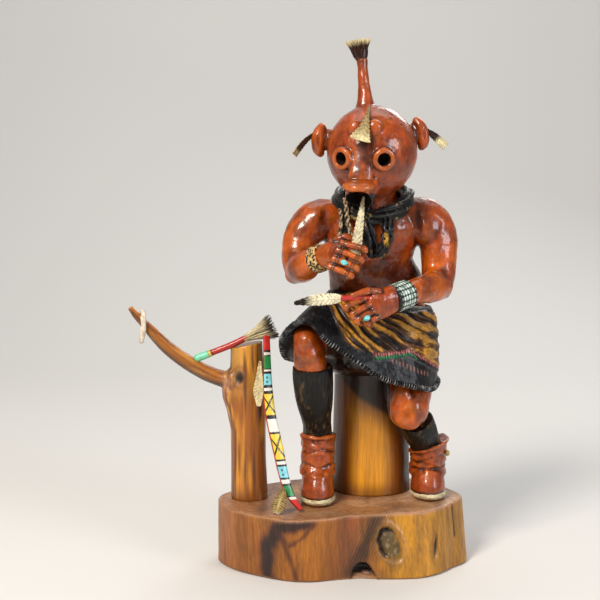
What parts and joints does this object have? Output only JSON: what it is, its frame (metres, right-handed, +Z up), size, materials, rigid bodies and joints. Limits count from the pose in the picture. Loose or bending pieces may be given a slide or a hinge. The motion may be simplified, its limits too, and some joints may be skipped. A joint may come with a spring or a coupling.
{
  "type": "seated kachina doll",
  "caption": "Carved and painted wooden masked figure seated on a log, beside a forked stump with a leaning painted bow, on a slab cut from a log.",
  "frame": {"origin": "on the slab's underside, below its middle", "axes": "+Z up, the figure faces -Y, the forked stump stands on the -X side"},
  "size_m": [0.1773, 0.0938, 0.2704],
  "materials": {
    "slab_wood": "oiled log slice, brown and ochre with dark stain",
    "peeled_log": "varnished peeled wood, honey and ochre",
    "painted_figure": "carved wood, red-brown stain and paint under gloss varnish",
    "banded_bow": "painted bands",
    "red_stick": "painted red",
    "feather": "thin carved feather, painted cream and brown",
    "white_hank": "painted cream white",
    "turquoise": "polished"
  },
  "bodies": {
    "root": {"slab": "slab_wood", "log_seat": "peeled_log", "figure": "painted_figure", "forked_stump": "peeled_log", "bow": "banded_bow", "upper_bow_feather": "feather", "lower_bow_feather": "feather", "prayer_stick": "red_stick", "white_hank": "white_hank", "topknot_feather": "feather", "forehead_feather": "feather", "right_knob_feather": "feather", "left_knob_feather": "feather", "hand_feather": "feather", "lap_feather": "feather", "right_ring_stone": "turquoise", "left_ring_stone": "turquoise"}
  },
  "joints": []
}
